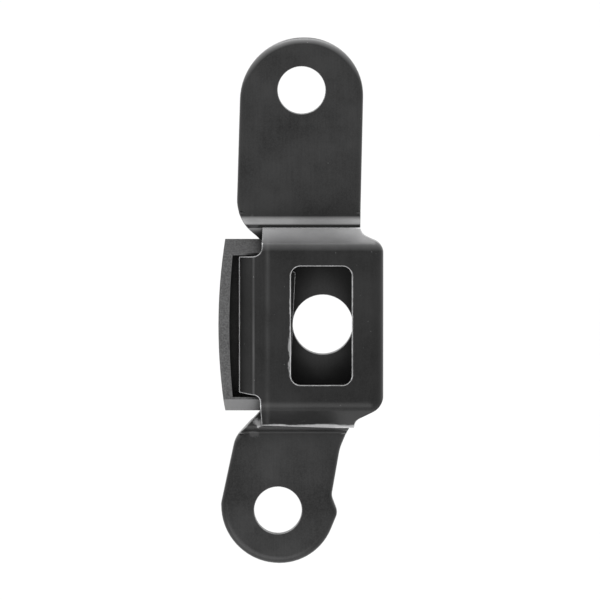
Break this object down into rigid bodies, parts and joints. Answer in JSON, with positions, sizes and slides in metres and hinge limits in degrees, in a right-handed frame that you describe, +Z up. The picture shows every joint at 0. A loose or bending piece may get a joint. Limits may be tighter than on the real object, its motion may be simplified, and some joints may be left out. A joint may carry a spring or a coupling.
{
  "type": "stair gate latch keeper",
  "caption": "Wall-side keeper of a stair gate latch: joggled steel plate with two ears, a pressed cover with a hook window, and a sprung grey push-release slide.",
  "frame": {"origin": "where the axis of the round hole in the plate's raised middle meets the wall plane, the plane of both ears' back faces", "axes": "+Z up along the plate, +X to the right seen from the front, which is the way the slide is pressed, front faces -Y, and the wall is at y = 0"},
  "size_m": [0.0296, 0.0099, 0.0948],
  "materials": {
    "black_plate": "satin black coating on punched steel",
    "black_cover": "satin black coating, worn bright on cut edges",
    "grey_nylon": "matte grained moulding",
    "dark_steel": "black oxide with bright sheared edge",
    "bright_steel": "turned",
    "spring_wire": "drawn wire"
  },
  "bodies": {
    "housing": {"base_plate": "black_plate", "keeper_cover": "black_cover", "return_spring_upper": "spring_wire", "return_spring_lower": "spring_wire"},
    "slide": {"release_slide": "grey_nylon", "pusher_plate": "dark_steel", "pusher_pins": "bright_steel"}
  },
  "joints": [
    {"name": "slide_press", "type": "slide", "parent": "housing", "child": "slide", "axis": [1, 0, 0], "range_m": [0, 0.0011], "stiffness_N_per_m": 1500, "springref_m": -0.002, "deforming": ["return_spring_upper", "return_spring_lower"]}
  ]
}
